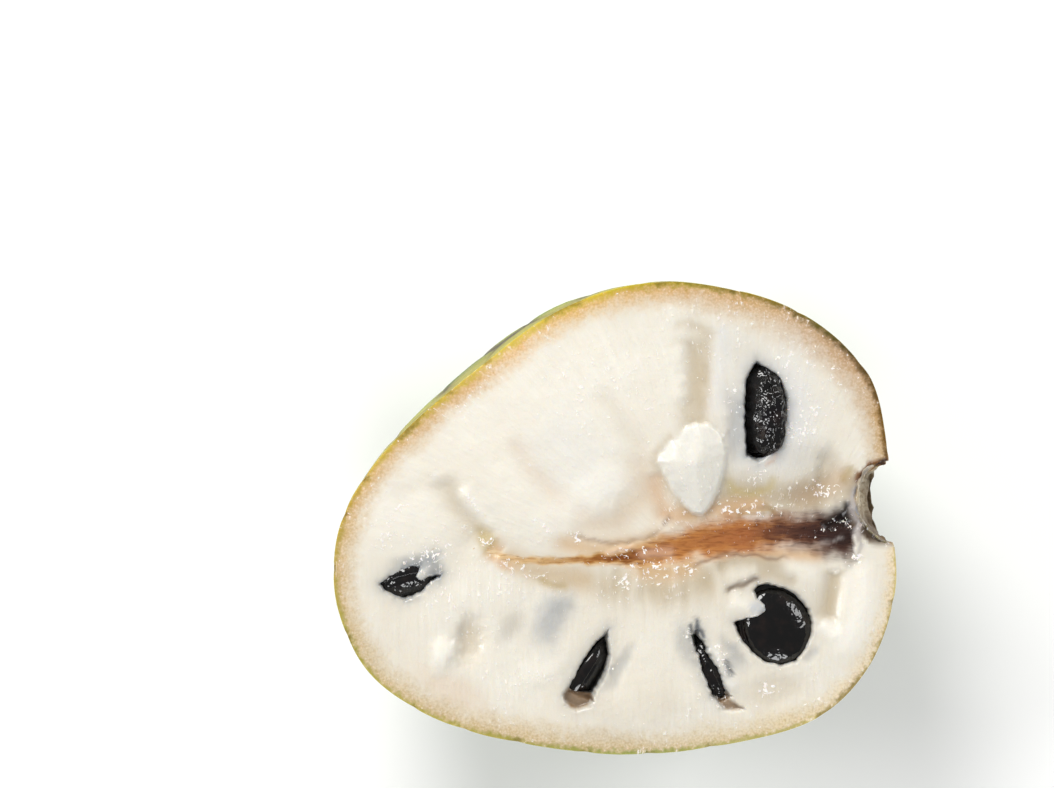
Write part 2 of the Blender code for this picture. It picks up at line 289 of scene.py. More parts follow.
# %% Swellings and dents
# x, y, half length and half width in mm, heading in degrees, height in mm, and stains
MOUNDS = [
    (-7.0, 13.0, 23.0, 17.0, 28, 1.1, {"pale": 0.3}),
    (14.0, 25.0, 10.5, 2.8, 88, -0.4, {"tan": 0.4}),
    (27.5, 18.0, 12.0, 8.5, 80, 0.3, {"cool": 0.55}),
    (24.8, 1.4, 4.4, 1.5, -6, 0.4, {"tan": 0.3, "shade": 0.08}),
    (36.0, 4.4, 9.0, 3.2, 12, -0.2, {"tan": 0.55, "shade": 0.12}),
    (42.8, 5.4, 2.6, 2.2, 80, -0.2, {"tan": 0.5, "shade": 0.1}),
    (-4.0, 4.0, 8.0, 4.0, 30, 0.35, {"pale": 0.45}),
    (-8.0, 12.0, 6.5, 10.0, 40, 0.3, {"cool": 0.15}),
    (-16.0, 2.0, 7.0, 4.5, -45, 0.3, {"pale": 0.2}),
    (-38.0, 3.0, 9.0, 9.0, 0, 0.3, {"pale": 0.45}),
    (-25.9, -21.6, 4.3, 2.6, 80, -1.2, {"tan": 0.45}),
    (-30.2, -23.6, 3.3, 2.4, 60, 0.75, {"pale": 0.7}),
    (-12.0, -26.0, 6.0, 3.0, 40, 0.4, {"pale": 0.2}),
    (5.0, -33.0, 14.0, 5.0, 5, 0.5, {"tan": 0.08}),
    (7.0, -22.0, 5.0, 8.0, 0, 0.3, {"pale": 0.15}),
    (-8.0, -19.0, 14.0, 9.0, 0, -0.3, {}),
    (28.0, -31.0, 6.0, 3.0, 15, -0.4, {"tan": 0.25}),
    (-22.8, -3.4, 3.0, 1.7, -55, -0.2, {"olive": 0.5, "tan": 0.4}),
    (-19.6, -7.4, 3.4, 1.6, -30, 0.1, {"peach": 0.6}),
    (37.6, 8.6, 3.4, 2.2, 80, -0.9, {"tan": 0.35}),
    (23.5, 5.0, 5.0, 3.4, 0, -0.3, {"tan": 0.3}),
    (33.0, 10.5, 7.0, 3.6, 0, -0.1, {"shade": 0.16, "tan": 0.1}),
    (22.0, 30.0, 5.0, 5.0, 0, 0.0, {"shade": 0.08}),
    (33.0, -9.5, 5.0, 2.0, -20, 0.2, {"pale": 0.3}),
    (-11.2, -17.8, 5.4, 3.2, 72, 0.35, {"shade": 0.48, "cool": 0.3}),
    (-9.0, -14.6, 2.4, 1.8, 30, 0.1, {"shade": 0.2}),
    (-18.6, -19.2, 3.4, 2.2, 60, 0.0, {"shade": 0.22, "tan": 0.15}),
    (21.2, 16.0, 1.7, 6.4, 4, -0.6, {"shade": 0.35}),
    (29.0, 12.0, 3.0, 2.2, 60, -0.3, {"shade": 0.12}),
    (0.8, -26.6, 1.2, 4.6, -33, -0.3, {"shade": 0.35}),
    (12.6, -23.0, 1.8, 4.2, 20, -0.2, {"shade": 0.3}),
    (21.0, -24.2, 1.3, 3.6, 25, -0.2, {"shade": 0.5}),
    (-35.0, -7.4, 5.0, 1.8, 12, 0.0, {"shade": 0.5}),
    (-31.6, -8.6, 1.7, 2.8, 20, 0.2, {"shade": 0.5}),
    (34.7, -24.0, 1.6, 1.2, 40, -0.2, {"shade": 0.3}),
    (-29.0, -30.5, 8.0, 3.0, -28, 0.0, {"peach": 0.22}),
]
print("swellings and dents:", len(MOUNDS))

# %% Juice, and the core
# Where juice beads, with glints painted near white there besides the real gloss: x, y, half length and half
# width in mm, heading in degrees, and strength.
GLINTS = [
    (23.0, 1.6, 7.5, 1.4, -4, 1.0), (36.4, 5.2, 5.0, 2.0, -14, 1.0), (32.6, 15.2, 4.4, 3.0, 30, 0.8),
    (21.4, 19.6, 1.6, 5.0, 4, 0.7), (-40.2, -3.4, 3.6, 4.6, 30, 0.7), (-32.4, -6.2, 4.4, 3.0, 30, 1.0),
    (-22.8, -4.2, 2.0, 1.6, -60, 1.1), (-12.6, -1.8, 3.4, 1.2, -40, 0.8), (-6.8, -3.0, 2.2, 1.4, -30, 1.1),
    (24.4, -1.4, 3.0, 1.0, 0, 0.35), (39.6, -1.4, 3.4, 1.6, 10, 0.8), (7.0, -9.6, 10.5, 2.6, 4, 0.95),
    (13.9, -22.6, 1.6, 5.4, 24, 0.9), (19.0, -25.0, 1.2, 5.4, 24, 0.9), (27.2, -30.4, 2.2, 1.6, 20, 1.1),
    (35.0, -32.4, 3.4, 1.2, 20, 0.7), (-25.6, 2.8, 1.2, 2.6, 40, 1.0), (-37.8, 2.0, 1.4, 1.2, 0, 0.9),
    (-4.6, 17.6, 8.0, 7.0, 0, 0.3), (4.6, 22.0, 4.0, 8.0, 20, 0.3), (25.2, 7.4, 2.4, 2.2, 60, 0.8),
    (-16.0, -9.6, 8.0, 2.2, -20, 0.6), (0.0, -13.6, 5.4, 2.6, 0, 0.5), (3.4, -5.8, 6.5, 1.5, 4, 0.6),
    (42.9, -7.4, 1.8, 1.2, -20, 1.3), (16.4, -36.2, 12.0, 2.0, 12, 0.35), (-3.0, -27.0, 6.0, 8.0, 0, 0.25),
    (33.4, 24.0, 8.0, 10.0, -50, 0.5), (22.6, -19.8, 1.4, 3.4, -30, 0.4),
]
# Along the core from the stem: x, y of its middle, and half width, in mm.
CORE = [
    (44.5, -1.8, 6.4), (42.8, -2.1, 6.1), (40.5, -2.6, 5.4), (38.4, -2.7, 4.8), (36.3, -2.5, 4.4),
    (33.0, -2.0, 3.4), (28.6, -2.4, 3.4), (22.7, -3.1, 3.7), (16.8, -3.7, 3.9), (10.9, -4.9, 3.4),
    (5.0, -6.5, 1.9), (-0.9, -7.1, 1.2), (-6.8, -7.4, 0.9), (-14.0, -7.4, 0.8), (-18.6, -7.0, 0.8),
    (-22.5, -5.4, 0.6),
]
print("glints:", len(GLINTS), "| stations along the core:", len(CORE))

# %% Ask the map
def from_segment(x, y, start, end):
    """How far each point is from a straight piece of line, and how far along it its foot is, 0 to 1."""
    (ax, ay), (bx, by) = start, end
    squared = (bx - ax)**2 + (by - ay)**2
    share = np.clip(((x - ax) * (bx - ax) + (y - ay) * (by - ay)) / squared, 0, 1)
    return np.hypot(x - ax - share * (bx - ax), y - ay - share * (by - ay)), share


def inside_outline(x, y, corners):
    """How far inside a closed outline each point is, in mm; negative outside."""
    nearest = np.full(x.shape, 1e9)
    inside = np.zeros(x.shape, bool)
    for (ax, ay), (bx, by) in zip(corners, corners[1:] + corners[:1]):
        nearest = np.minimum(nearest, from_segment(x, y, (ax, ay), (bx, by))[0])
        crossed = (ay > y) != (by > y)
        inside ^= crossed & (x < (bx - ax) * (y - ay) / (by - ay + 1e-9) + ax)
    return np.where(inside, nearest, -nearest)


def from_line(x, y, points):
    """How far each point is from an open line, in mm, and how far along the line its foot is, 0 to 1."""
    nearest = np.full(x.shape, 1e9)
    along = np.zeros(x.shape)
    lengths = [math.dist(a, b) for a, b in zip(points, points[1:])]
    for i in range(len(lengths)):
        distance, share = from_segment(x, y, points[i], points[i + 1])
        along = np.where(distance < nearest, (sum(lengths[:i]) + share * lengths[i]) / sum(lengths), along)
        nearest = np.minimum(nearest, distance)
    return nearest, along


def from_spot(x, y, spot):
    """1 at the middle of a soft ellipse, falling off to nearly 0 at twice its size."""
    cx, cy, length, width, heading = spot
    cosine, sine = math.cos(math.radians(heading)), math.sin(math.radians(heading))
    along = ((x - cx) * cosine + (y - cy) * sine) / length
    across = ((y - cy) * cosine - (x - cx) * sine) / width
    return np.exp(-1.2 * (along**2 + across**2)**1.5)


def in_core(x, y):
    """How far inside the core's edge each point is, as a share of its half width there."""
    stations = CORE[::-1]
    along = [station[0] for station in stations]
    middle = np.interp(x, along, [station[1] for station in stations])
    half_width = np.interp(x, along, [station[2] for station in stations], left=0.01)
    return 1 - np.abs(y - middle) / half_width


depth_inside = inside_outline(np.array([14.0]), np.array([9.0]), LUMP)
print("mm from the lump's edge to its middle:", depth_inside.round(1))


# %% [markdown]
# ## The relief of the cut face
#
# Flesh isn't flat where a knife went through it. It swells between the fruit's segments, tears along
# them, and stands up around each seed. Sculpting would do this by hand. Here each mark on the map adds
# its height and its stains, so the relief and the colours always agree; a few marks also paint shade into
# creases and hollows and light onto ridges.

# %% Heights and stains of the cut face
SINK = 4.6  # mm from the cut down to the bottom of a seed's hollow, where the seed hides it
LUMP_RISE = 2.2  # mm
STAINS = (
    "tan", "peach", "olive", "pale", "cool", "seam", "husk", "shade_and_dark_tissue", "shade", "film", "pulp", "core", "wet",
    "lump",
)


def cut_face(x, y):
    """The height of the cut face over the plain cut at each point, in mm, and its stains, 0 to 1."""
    stains = {name: np.zeros(x.shape) for name in STAINS}

    def leave(marks, there):
        for stain, strength in marks.items():
            stains[stain] += strength * there

    fine_x, fine_y = shaken(x, y, 0.55, 1.5, (3.1, 8.4))
    coarse_x, coarse_y = shaken(x, y, 0.9, 4.0, (5.2, 9.7))
    ragged_x, ragged_y = fine_x + coarse_x - x, fine_y + coarse_y - y
    height = 0.35 * noise_at(x, y, 11.0, 1.3) + 0.06 * noise_at(x, y, 3.0, 2.9)

    for *spot, rise, marks in MOUNDS:
        there = from_spot(ragged_x, ragged_y, spot)
        height += rise * there
        leave(marks, there)
    gentle_x, gentle_y = shaken(x, y, 0.8, 6.0, (5.2, 9.7))
    for points, width, rise, marks in LINES:
        line_x, line_y = (ragged_x, ragged_y) if width < 0.8 else (gentle_x, gentle_y)
        distance, along = from_line(line_x, line_y, points)
        there = np.exp(-(distance / width)**2) * smooth(0.15 + 5 * np.minimum(along, 1 - along))
        height += rise * there
        leave(marks, there)
    for *spot, strength in GLINTS:
        stains["wet"] += strength * from_spot(x, y, spot)

    # Fibres hang down from the core between the seeds.
    hanging = smooth((-6.5 - y) / 3) * smooth((y + 21) / 9) * smooth((x + 5) / 6) * smooth((25 - x) / 6)
    fringe = noise_at(x * 2.4 + 3.0 * noise_at(x, y, 5.0, 1.1), y * 0.5, 4.0, 7.7)
    height += 0.22 * hanging * fringe
    stains["tan"] += 0.3 * hanging * np.clip(-fringe, 0, 1)
    stains["pale"] += 0.4 * hanging * np.clip(fringe, 0, 1)

    # The core has shrunk below the flesh, and its strands run along it.
    core = in_core(ragged_x, y + 0.5 * noise_at(x, y, 2.2, 4.4))
    core -= 1.6 * smooth((ragged_x - 41.8 + 0.9 * noise_at(x, y, 2.0, 7.1)) / 2.6)
    sunk = smooth(core * 1.2 + 0.2)
    depth = 0.1 + 0.35 * smooth((x + 4) / 16) + 0.4 * smooth((x - 32) / 10)
    height += sunk * (0.2 * noise_at(x * 0.3, y * 2.2, 2.2, 6.1) - depth)

    # The torn lump stands up in flat facets that meet in soft edges, steeper at its upper left.
    rough = 0.22 + 0.4 * smooth((y - 9.5) / 4)
    lump_in = inside_outline(*shaken(x, y, rough, 1.4, (1.9, 2.4)), LUMP)
    off_ridge, _ = from_line(x, y, LUMP_RIDGE)
    facets = LUMP_RISE - 0.12 * off_ridge + 0.15 * noise_at(x, y, 4.2, 4.9)
    steep = 0.33 + 0.34 * smooth((16.5 - x - 0.3 * y) / 4) * smooth((y - 1) / 7)
    lump = -np.log(np.exp(-2.5 * facets) + np.exp(-2.5 * np.clip(steep * lump_in, -2, None))) / 2.5
    inside_lump = smooth(lump_in / 0.9 + 0.5)
    height = height * (1 - inside_lump) + inside_lump * 0.75 + np.clip(lump, 0, None)
    stains["lump"] = inside_lump
    # Painted shadow: a tan ring round the lump's foot, full on its left and a quarter as strong on its right.
    stains["tan"] += 0.4 * smooth(1 - np.abs(lump_in + 0.7) / 1.6) * np.where(x + 0.3 * y < 14.5, 1.0, 0.25)
    for stain in ("tan", "peach", "seam", "wet"):
        stains[stain] *= 1 - 0.9 * inside_lump

    # The seeds' hollows, painted dark inside as shade, with ragged flesh round them that the seeds shade from
    # below.
    for name, corners in SEED_WINDOWS.items():
        rough = 0.45 if name in ("seed_left", "seed_sliver") else 0.22
        opening = inside_outline(*shaken(x, y, rough, 0.9, (3.3, 6.6)), corners)
        near = np.exp(-np.clip(-opening, 0, None) / 0.9)
        stains["shade"] += SEED_SHADE[name] * near
        # Painted shade: the inside of each hollow is painted nearly black.
        stains["shade_and_dark_tissue"] += 0.95 * smooth((opening - 0.35) / 0.6)
        height -= 0.3 * near
        open_share = smooth(opening / 0.9 + 0.1)
        height = height * (1 - open_share) - SINK * open_share
    for corners, depth, marks in HUSKS:
        covered = inside_outline(ragged_x * 0.3 + x * 0.7, ragged_y * 0.3 + y * 0.7, corners)
        there = smooth(covered / 0.6 + 0.5)
        height = height * (1 - there) - depth * there
        stains["shade_and_dark_tissue"] *= 1 - there
        stains["shade"] *= 1 - there
        leave(marks, there)
    # Stains run from 0 to 1, except that the core's goes below 0, for its soft edge.
    stains["core"] = core
    for stain in STAINS:
        stains[stain] = np.clip(stains[stain], -1 if stain == "core" else 0, 1)
    return height, stains


print("stains:", ", ".join(STAINS))


# %% [markdown]
# ## Finer squares where they count
#
# The face has a square about every 0.45 mm, enough for soft swellings and too coarse for the edge of a
# torn hollow. Making them all finer would pass what one piece should hold. So only the squares near
# seeds, the lump, the core and the stem scar are halved, before the ball takes its shape.

# %% Halve the squares near the details
def plan_of(direction):
    """Where a point of the upper half ball lies on the cut face, with even spacing, in mm."""
    turn = np.arctan2(direction[:, 1], direction[:, 0])
    reach = rim_reach(turn) * np.sqrt(np.clip(1 - direction[:, 2], 0, 1))
    return reach * np.cos(turn), reach * np.sin(turn), turn


NOTCH_X, NOTCH_Y = 46.0, 3.3  # mm, the inner end of the stem scar


def wants_detail(x, y):
    """Whether a point is near the edge of the lump, a seed, the core or the stem scar."""
    wanted = np.abs(inside_outline(x, y, LUMP) + 0.3) < 1.6
    for corners in SEED_WINDOWS.values():
        wanted |= np.abs(inside_outline(x, y, corners) - 0.2) < 1.5
    wanted |= (np.abs(in_core(x, y) + 0.1) < 0.45) & (x > -10) & (x < 46)
    return wanted | (np.hypot(x - NOTCH_X, (y - NOTCH_Y) / 1.6) < 4.5)


ball = gridded_cube(SQUARES)
direction = ball_directions(ball)
x, y, _ = plan_of(direction)
close = wants_detail(x, y) & (direction[:, 2] > -0.02)
ball.verts.ensure_lookup_table()
ball.verts.index_update()
fine = [edge for edge in ball.edges if close[edge.verts[0].index] and close[edge.verts[1].index]]
bmesh.ops.subdivide_edges(ball, edges=fine, cuts=1, use_grid_fill=True)
bmesh.ops.triangulate(ball, faces=[face for face in ball.faces if len(face.verts) > 4])
ball.verts.index_update()
direction = ball_directions(ball)
print("ball:", len(ball.verts), "points,", len(fine), "edges halved")

# %% [markdown]
# ## The scaly skin
#
# The skin is covered with flat scales like those of a fir cone. Each is round towards the fruit's tip
# and tucked under its neighbours towards the stem, with a brown groove between. A cell texture gives
# straight-sided cells. Here rows of egg shapes are laid round the fruit from the stem to the tip, and
# each point of the skin belongs to the topmost egg over it, as overlapping tiles do.

# %% The skin's shape
FLAT_SINK = 0.7  # mm that the round bottom passes the table, where the fruit has gone flat
FULLNESS = 2.12  # 2 is an ellipse, and more is squarer
BULGE, BULGE_TURN, BULGE_SPREAD = 4.6, math.radians(128), math.radians(75)  # mm, where, how wide
BELLY_SHIFT = (1.0, -1.5)  # mm that the bottom lies off the middle


def skin_point(direction):
    """The point of the skin in each direction; the half that was cut away mirrors this one. In mm."""
    turn = np.arctan2(direction[:, 1], direction[:, 0])
    drop = np.arcsin(np.clip(np.abs(direction[:, 2]), 0, 1))
    cosine, sine = np.cos(drop), np.sin(drop)
    stretch = (cosine**FULLNESS + sine**FULLNESS) ** (-1 / FULLNESS)
    off_centre = (turn - BULGE_TURN + math.pi) % (2 * math.pi) - math.pi
    swell = BULGE * smooth(1 - np.abs(off_centre) / BULGE_SPREAD) * np.sin(2 * drop) * cosine
    reach = rim_reach(turn) * stretch * cosine + swell
    side = np.where(direction[:, 2] > 0, 1.0, -1.0)
    return np.stack([
        reach * np.cos(turn) + BELLY_SHIFT[0] * sine**2,
        reach * np.sin(turn) + BELLY_SHIFT[1] * sine**2,
        FACE_HEIGHT + side * (FACE_HEIGHT + FLAT_SINK) * stretch * sine,
    ], axis=1)


print("lowest point of the skin in mm:", skin_point(np.array([[0.0, 0.0, -1.0]])).round(1))


# %% Lay the scales
SCALE_WIDTH, ROW_STEP = 15.0, 12.6  # mm round the fruit and along it
SKIN_LENGTH, GIRTH = 145, 43  # mm from stem to tip over the skin, and from the axis out to the skin
EGG_TIPWARD, EGG_STEMWARD, EGG_SIDEWARD = 9.6, 9.0, 8.1  # mm from a scale's middle to its edges
EGG_POWER = 2.3  # a little squarer than an ellipse
EGG_STEP = 8.3  # mm, to turn a share of an egg into a distance
EGG_HALF = 9.5  # mm, about half a scale's length
REACH = 15.0  # mm, beyond which a scale can't cover a point
FAR = 9.0  # eggs away, which is too far to matter
draw = np.random.default_rng(11)


def unit(vectors):
    return vectors / np.linalg.norm(vectors, axis=1, keepdims=True)


def axis_direction(from_stem, round_axis):
    """The direction at this angle from the stem end, turned this far round the fruit's own axis."""
    return np.stack([
        np.cos(from_stem),
        np.sin(from_stem) * np.cos(round_axis),
        np.sin(from_stem) * np.sin(round_axis),
    ], axis=1)


row_angles, row_turns, row_numbers = [], [], []
rows = int(SKIN_LENGTH / ROW_STEP)
for row in range(rows + 1):
    angle = math.pi * (row + 0.55) / (rows + 0.9)
    count = max(1, round(2 * math.pi * GIRTH * math.sin(angle) / SCALE_WIDTH))
    start = draw.uniform(0, 2 * math.pi)
    for i in range(count):
        row_angles.append(angle + draw.normal(0, 0.035))
        row_turns.append(start + 2 * math.pi * (i + draw.normal(0, 0.07)) / count)
        row_numbers.append(row)
row_angles, row_turns = np.clip(row_angles, 0.02, math.pi - 0.02), np.array(row_turns)
row_numbers = np.array(row_numbers)
scale_middle = skin_point(axis_direction(row_angles, row_turns))
to_tip = unit(skin_point(axis_direction(row_angles + 0.02, row_turns)) - scale_middle)
to_side = unit(skin_point(axis_direction(row_angles, row_turns + 0.02)) - scale_middle)
scale_size = draw.normal(1.0, 0.09, len(row_numbers))
scale_tone = draw.random(len(row_numbers))
print("scales on the whole fruit:", len(row_numbers))


def scales_at(points):
    """For each point of the skin: how far from the nearest groove in mm, its scale's number, and how
    far towards the scale's round end it is, from -1 to 1."""
    edge = np.empty(len(points))
    owner = np.empty(len(points), int)
    tipward = np.empty(len(points))
    for first in range(0, len(points), 4000):
        block = slice(first, first + 4000)
        offset = points[block, None, :] - scale_middle[None, :, :]
        along = (offset * to_tip).sum(axis=2)
        across = (offset * to_side).sum(axis=2)
        squared = (offset * offset).sum(axis=2)
        half_length = np.where(along > 0, EGG_TIPWARD, EGG_STEMWARD) * scale_size
        half_width = EGG_SIDEWARD * scale_size * (1 - 0.012 * along)
        egg = np.abs(along / half_length)**EGG_POWER + np.abs(across / half_width)**EGG_POWER
        egg = np.where(squared > REACH**2, FAR, egg ** (1 / EGG_POWER))
        # The first row that covers the point is on top, and where none does, the nearest scale has it.
        order = np.where(egg < 1, row_numbers + egg, 100 + egg)
        mine = order.argmin(axis=1)
        pick = np.arange(len(mine)), mine
        my_row, my_egg = row_numbers[mine][:, None], egg[pick][:, None]
        others = row_numbers[None, :]
        gap = np.where(others > my_row, np.maximum(egg, 1) - my_egg, egg - np.maximum(my_egg, 1))
        gap = np.where(others == my_row, (egg - my_egg) / 2, gap)
        gap[pick] = FAR
        gap = gap.min(axis=1)
        edge[block] = np.clip(gap, 0, None) * EGG_STEP
        owner[block] = mine
        tipward[block] = np.clip(along[pick] / EGG_HALF, -1, 1)
    return edge, owner, tipward


# %% [markdown]
# ## Skin, flesh and core in one piece
#
# The upper half of the ball is laid out on the cut face and takes its relief, and the lower half takes
# the skin's shape and its scales. Both halves share the rim's points, so the piece is one closed mesh.
# Two meshes joined with a boolean would do too, but a boolean leaves slivers along a soft edge like this.

# %% The face's relief and the skin with its scales
x, y, turn = plan_of(direction)
on_face = direction[:, 2] > -1e-6
at_rim = np.abs(direction[:, 2]) < 1e-6
height, stains = cut_face(x, y)
from_rim = np.array([
    np.hypot(RIM[:, 0] - a, RIM[:, 1] - b).min() if face else 0.0 for a, b, face in zip(x, y, on_face)
])
from_rim[at_rim] = 0.0

level = np.stack([np.cos(turn), np.sin(turn), 0 * turn], axis=1)
skin = skin_point(np.where(on_face[:, None], level, direction))
edge, owner, tipward = scales_at(skin)
# A sharp groove and a wide one lie round each scale, and its end towards the tip stands up.
SHARP_GROOVE, WIDE_GROOVE = (0.45, 0.6), (1.3, 2.6)  # depth and width in mm
TIP_RISE, SETBACK = 0.3, 0.3  # mm
sunk = SHARP_GROOVE[0] * np.exp(-(edge / SHARP_GROOVE[1])**2)
sunk += WIDE_GROOVE[0] * np.exp(-edge / WIDE_GROOVE[1]) - TIP_RISE * tipward * smooth(edge / 2)
# The knife left a nearly smooth edge, and the swollen side is smoother than the rest.
sunk *= 0.14 + 0.86 * smooth(-direction[:, 2] / 0.26)
off_bulge = np.abs((turn - BULGE_TURN + math.pi) % (2 * math.pi) - math.pi)
sunk *= 1 - 0.85 * smooth(1 - off_bulge / BULGE_SPREAD) * smooth(1.8 + 3 * direction[:, 2])
outward = unit((skin - [0, 0, FACE_HEIGHT]) / np.array([50.0, 42.0, 40.0])**2)
place = skin - outward * (sunk + SETBACK)[:, None]
place[:, 2] = np.where(on_face, FACE_HEIGHT, np.clip(place[:, 2], 0.0, FACE_HEIGHT - 0.02))
print("relief in mm:", height.min().round(2), "to", height.max().round(2), "| scales:", len(set(owner)))

# %% Lay the face inside the skin's rim
SQUEEZE_WIDTH, LEVEL_WIDTH = 1.2, 1.6  # mm from the rim over which the face gives way and turns level
shrink = np.hypot(place[:, 0], place[:, 1]) / rim_reach(turn)
squeeze = 1 + (shrink - 1) * np.exp(-from_rim / SQUEEZE_WIDTH)
settled = smooth(from_rim / LEVEL_WIDTH)
face = np.stack([x * squeeze, y * squeeze, FACE_HEIGHT + settled * height], axis=1)
place[on_face] = face[on_face]
print("rim drawn in by up to", round(100 * (1 - shrink[at_rim].min()), 1), "percent")

# %% [markdown]
# ## The stem scar
#
# Where the stalk broke away there is a deep notch with a torn edge. A boolean cut would need a second
# shape and new faces. Here every point inside an egg shape is pushed out to its surface, so the mesh
# stays closed and its faces stay joined. The egg is squarer above its middle than below.

# %% Dent the stem scar
SCAR_CENTRE = np.array([51.4, 2.6, FACE_HEIGHT])
SCAR_RADII = np.array([8.6, 7.5, 16.0])
scar_way = (place - SCAR_CENTRE) / SCAR_RADII
ragged = 1 + np.array([
    0.10 * noise.noise(Vector(p) * 0.45)
    + 0.05 * noise.noise(Vector((p[0], p[1], p[2] * 0.3)) * 1.3) for p in place
])
corner = np.where(scar_way[:, 1] > 0, 2.7, 2.0)
sideways = (np.abs(scar_way[:, 0])**corner + np.abs(scar_way[:, 1])**corner) ** (1 / corner)
scar_depth = np.hypot(sideways, scar_way[:, 2]) / ragged
in_scar = scar_depth < 1
place[in_scar] = SCAR_CENTRE + ((place - SCAR_CENTRE) / scar_depth[:, None])[in_scar]

# Its upper lip is a dark hook, and its lower side is torn and brown.
hook = smooth((1.17 - scar_depth) / 0.08) * smooth((y - 5.6) / 1.4) * on_face
lip = smooth((1.10 - scar_depth) / 0.06) * smooth((y - 6.2) / 1.2) * on_face
torn_side = smooth((1.24 - scar_depth) / 0.14) * smooth((0.6 - y) / 1.0) * smooth((5.6 + y) / 2.4) * on_face
for stain, more in (
        ("seam", hook), ("shade_and_dark_tissue", 0.8 * lip), ("husk", 0.95 * torn_side), ("shade_and_dark_tissue", 0.75 * torn_side)):
    stains[stain] = np.clip(stains[stain] + more, 0, 1)
face_scar = smooth((1.04 - scar_depth) / 0.06) * (1 - hook) * (1 - torn_side)
scar = np.where(on_face & ~at_rim, face_scar, smooth((1.32 - scar_depth) / 0.3))
print("points in the scar:", in_scar.sum())

# %% Make its mesh
mesh = mesh_of("custard_apple_half", ball, place)
skin_faces = np.array([not all(on_face[v] for v in polygon.vertices) for polygon in mesh.polygons])
mesh.polygons.foreach_set("material_index", skin_faces.astype(np.int32))
mesh.attributes.new("sharp_edge", "BOOLEAN", "EDGE").data.foreach_set(
    "value", np.array([at_rim[e.vertices[0]] and at_rim[e.vertices[1]] for e in mesh.edges])
)


def add_piece(name, mesh, node):
    """Puts a mesh in the scene as the piece that stands for a CAD node."""
    piece = put(name, mesh)
    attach(piece, "root")
    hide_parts(node)
    return piece


fruit = add_piece("custard_apple_half", mesh, "fruit_half")
print("fruit:", sum(len(p.vertices) - 2 for p in mesh.polygons), "triangles")

# %% Give it the stains and the way of its fibres
def store(mesh, name, values):
    """Keeps one number, or one vector, for each vertex, for the materials to read."""
    kind, key = ("FLOAT", "value") if values.ndim == 1 else ("FLOAT_VECTOR", "vector")
    mesh.attributes.new(name, kind, "POINT").data.foreach_set(key, values.astype(np.float32).ravel())


# Above the core the fibres fan out from one point, and below it they hang straight down.
CORE_LINE = -5.5  # mm, about where the core lies, which has no fibres across it
FAN_X, FAN_Y, FAN_REACH = 24.0, -18.0, 40.0  # mm; at its reach, the fan's fibres have their real width
fan_turn, fan_out = np.arctan2(y - FAN_Y, x - FAN_X), np.hypot(x - FAN_X, y - FAN_Y)
fan = np.stack([fan_turn * FAN_REACH, fan_out, 0 * x], axis=1)
fibre_way = np.where((y > CORE_LINE)[:, None], fan, np.stack([x, y, 20 + 0 * x], axis=1))
facts = {
    **stains,
    "from_rim": from_rim + 9 * smooth((1.05 - scar_depth) / 0.05) * on_face,
    "turn": np.degrees(turn) % 360,
    "scar": scar,
    "edge": edge,
    "tone": scale_tone[owner],
    "fibre": fibre_way,
    "fibrous": 1 - np.exp(-((y - CORE_LINE) / 2.0)**2),
}
for name, values in facts.items():
    store(mesh, name, values)
print("stored:", ", ".join(facts))

# %% [markdown]
# ## Seeds
#
# A custard apple's seed is a flattened egg with a thin raised margin round its edge, and its coat is
# hard, black and wet. Each is made from the same gridded cube, and then turned and moved until its box
# has the middle of its CAD node's box. The upper one is wrinkled, with pits between the wrinkles.

# %% Make the seeds
# length, width and thickness in mm, taper, heading and roll in degrees, wrinkle depth in mm
SEEDS = {
    "seed_upper": ((18.0, 11.6, 6.4), 0.12, 92, -60, 0.6),
    "seed_face_on": ((15.8, 13.6, 6.6), 0.06, 118, 6, 0.12),
    "seed_edge_on": ((15.2, 11.2, 5.2), 0.15, 57, 84, 0.04),
    "seed_sliver": ((15.0, 10.8, 5.0), 0.15, 115, 78, 0.35),
    "seed_left": ((14.0, 9.6, 6.2), 0.15, 13, 58, 0.16),
    "seed_buried": ((14.4, 10.4, 6.0), 0.15, 72, 74, 0.04),
}


def make_seed(name, size, taper, heading, roll, wrinkle):
    shape = gridded_cube(56 if wrinkle > 0.12 else 44)
    along, across, up = ball_directions(shape).T
    out = np.sqrt(np.clip(1 - up**2, 0, 1))
    # A thin furrow with a raised edge outside it.
    margin = -0.15 * np.exp(-((out - 0.88) / 0.045)**2) + 0.08 * np.exp(-((out - 0.965) / 0.03)**2)
    flat = np.sign(up) * ((1 - out**2.7) ** 0.62 + margin)
    girth = 1 - taper * along
    place = np.stack([along, across * girth, flat * girth], axis=1) * np.array(size) / 2
    way = unit(np.stack([along, across, up * 2.0], axis=1))
    folds = np.array([
        1.1 * abs(noise.noise(Vector(p) * 0.36)) + 0.5 * abs(noise.noise(Vector(p) * 0.8)) for p in place
    ])
    place = place + way * (wrinkle * (folds - 0.3))[:, None]
    turned = np.array(Euler((math.radians(roll), 0, math.radians(heading))).to_matrix())
    place = place @ turned.T
    low, high = (np.array(corner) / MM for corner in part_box(name))
    place += (low + high) / 2 - (place.min(axis=0) + place.max(axis=0)) / 2

    mesh = mesh_of(name + "_coat", shape, place)
    store(mesh, "wrinkle", np.full(len(place), min(wrinkle * 4, 1.0)))
    return add_piece(name + "_coat", mesh, name)


seeds = [make_seed(name, *facts) for name, facts in SEEDS.items()]
print("seeds:", [seed.name for seed in seeds])

# %% [markdown]
# ## Colours and nodes
#
# Colours are written as the hex values that a screen shows and turned to linear light here. One function
# adds a node with its settings and links. Pattern sizes are given in millimetres: a noise texture's
# scale is one over the size of its blotches, in metres.

# %% Helpers for materials
SOFT = {"interpolation_type": "SMOOTHSTEP"}
TIMES, TIMES_PLUS = {"operation": "MULTIPLY"}, {"operation": "MULTIPLY_ADD"}
PAINT = {"data_type": "RGBA"}


